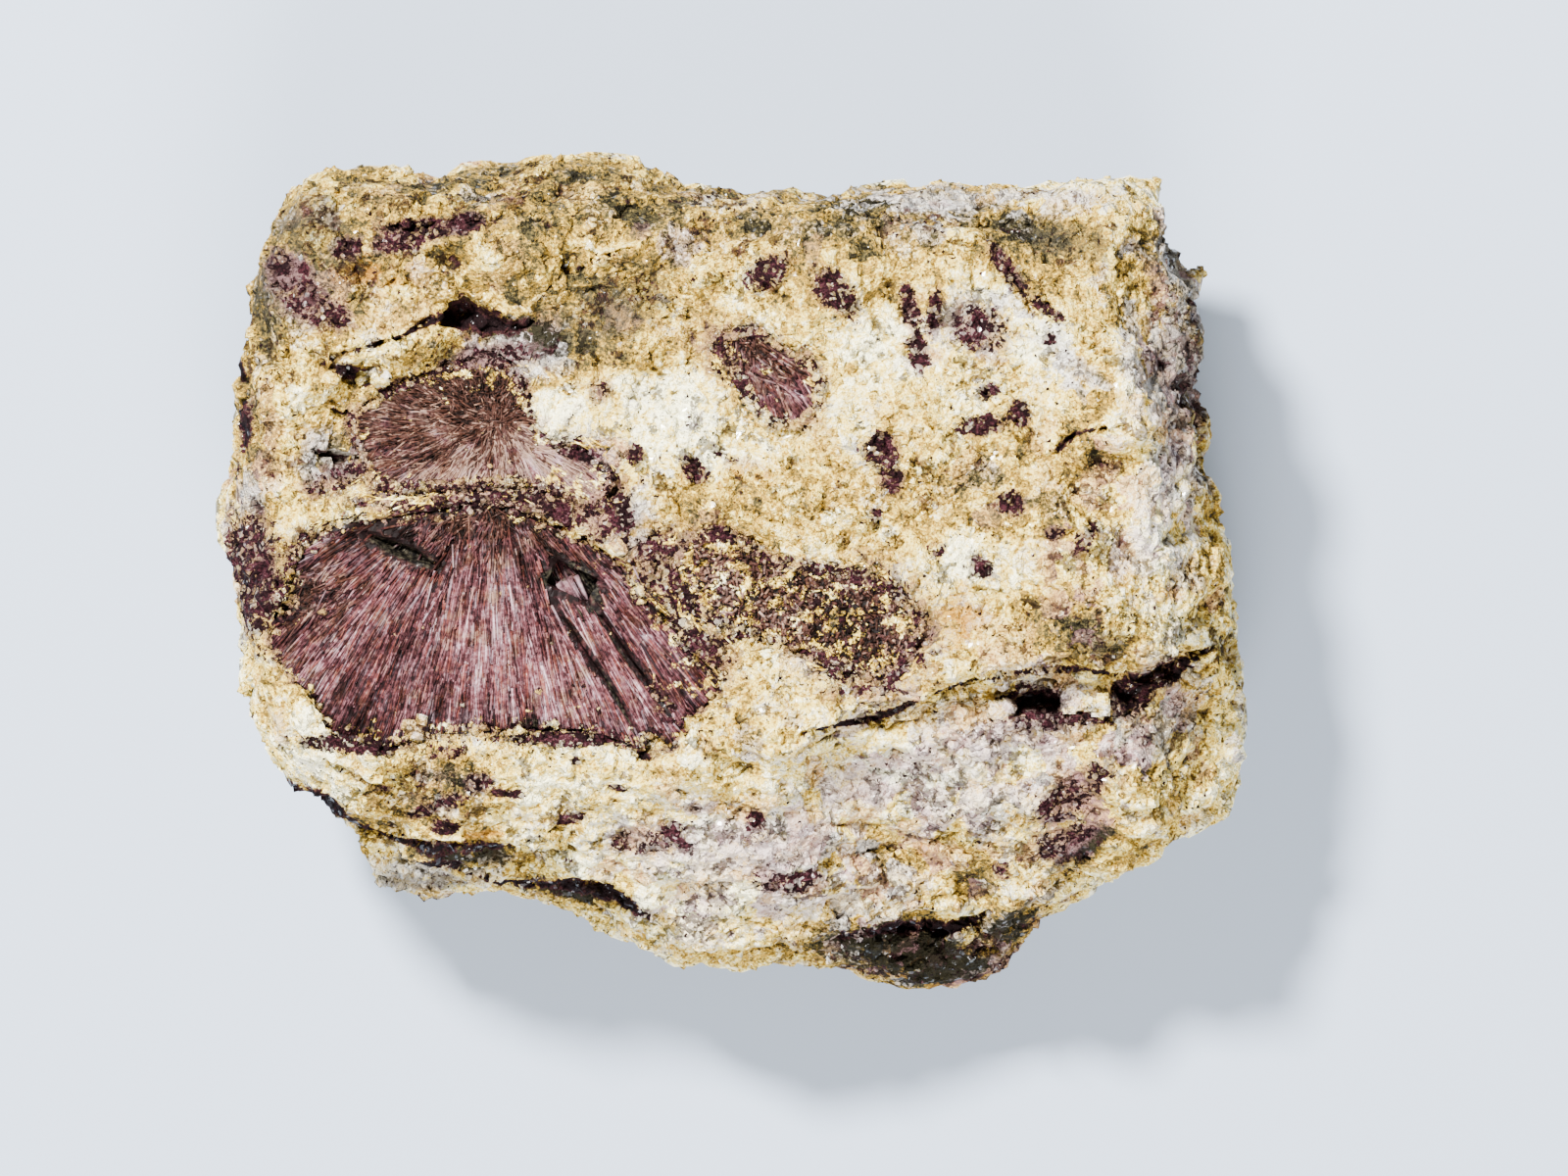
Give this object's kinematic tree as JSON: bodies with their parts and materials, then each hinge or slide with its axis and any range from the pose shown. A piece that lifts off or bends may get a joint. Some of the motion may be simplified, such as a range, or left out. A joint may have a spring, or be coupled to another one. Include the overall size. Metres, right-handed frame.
{
  "type": "dumortierite specimen",
  "caption": "Palm-sized broken block of quartz and feldspar rock with radiating sprays of red-violet dumortierite needles set in its upper face.",
  "frame": {"origin": "middle of the plan at the flat joint face that the block lies on", "axes": "+X along the block's length, +Y up in the plan from the undercut edge to the knobbed edge, +Z out of the face with the sprays"},
  "size_m": [0.0885, 0.072, 0.0415],
  "materials": {
    "rock": "rough, sugary break in cream, white and ochre",
    "needles": "fibrous, silky to dull, mauve brown"
  },
  "bodies": {
    "root": {"matrix": "rock", "large_spray": "needles", "upper_spray": "needles", "middle_cluster": "needles", "small_spray": "needles"}
  },
  "joints": []
}
